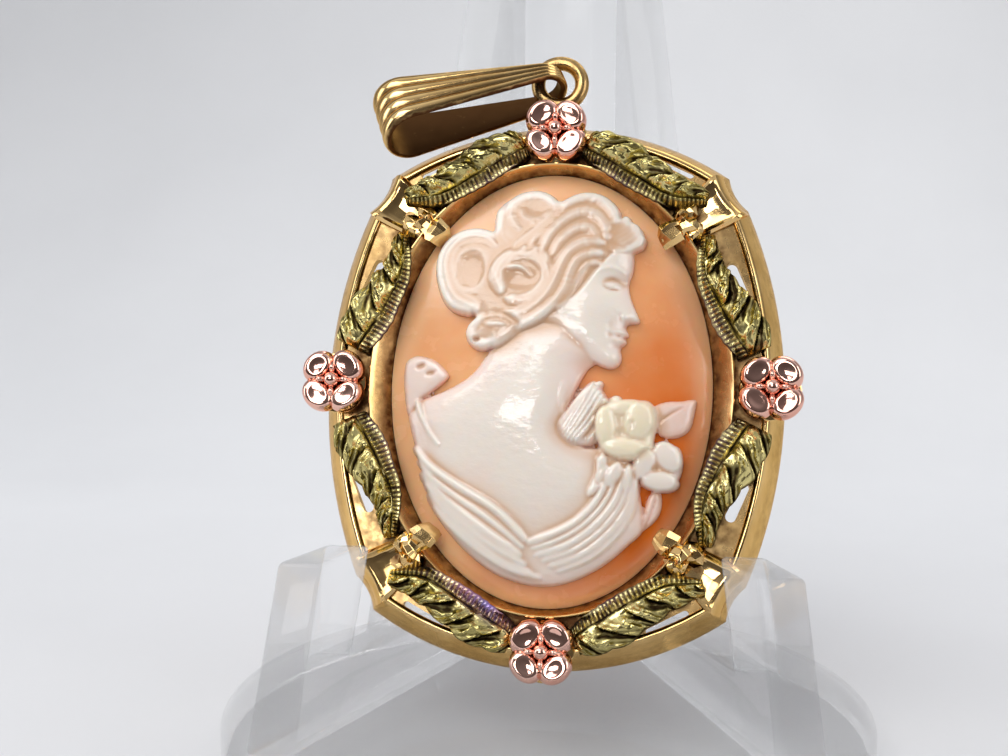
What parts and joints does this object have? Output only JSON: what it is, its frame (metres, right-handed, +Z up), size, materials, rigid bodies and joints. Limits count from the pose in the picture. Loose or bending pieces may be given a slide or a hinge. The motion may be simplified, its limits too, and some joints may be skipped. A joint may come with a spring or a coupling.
{
  "type": "cameo pendant on clear display easel",
  "caption": "Oval shell cameo with a raised bust in a pierced gold frame with rose flowers, green leaves, a ring and a fluted swinging bail, leaning on a clear display easel.",
  "frame": {"origin": "centre of the easel's round foot, on the surface it stands on", "axes": "+Z up, +X to the viewer's right, the pendant faces -Y and leans back towards +Y"},
  "size_m": [0.0358, 0.0358, 0.047],
  "materials": {
    "yellow_gold": "polished yellow gold, worn bright on its edges",
    "rose_gold": "mirror polished rose gold",
    "green_gold": "chased green gold, dark in its cuts",
    "orange_shell": "polished orange layer of a shell",
    "white_shell": "satin white layer of a shell, translucent where thin",
    "clear_acrylic": "clear polished acrylic"
  },
  "bodies": {
    "pendant_on_easel": {"frame": "yellow_gold", "cameo_ground": "orange_shell", "cameo_relief": "white_shell", "flower_top": "rose_gold", "flower_right": "rose_gold", "flower_bottom": "rose_gold", "flower_left": "rose_gold", "leaf_top_right": "green_gold", "leaf_right_upper": "green_gold", "leaf_right_lower": "green_gold", "leaf_bottom_right": "green_gold", "leaf_bottom_left": "green_gold", "leaf_left_lower": "green_gold", "leaf_left_upper": "green_gold", "leaf_top_left": "green_gold", "easel_foot": "clear_acrylic", "easel_back": "clear_acrylic"},
    "bail": {"bail": "yellow_gold"}
  },
  "joints": [
    {"name": "bail_swing", "type": "hinge", "parent": "pendant_on_easel", "child": "bail", "pos_m": [0.00007, 0.00658, 0.03623], "axis": [0, 0.9613, -0.2756], "range_deg": [0, 175]}
  ]
}
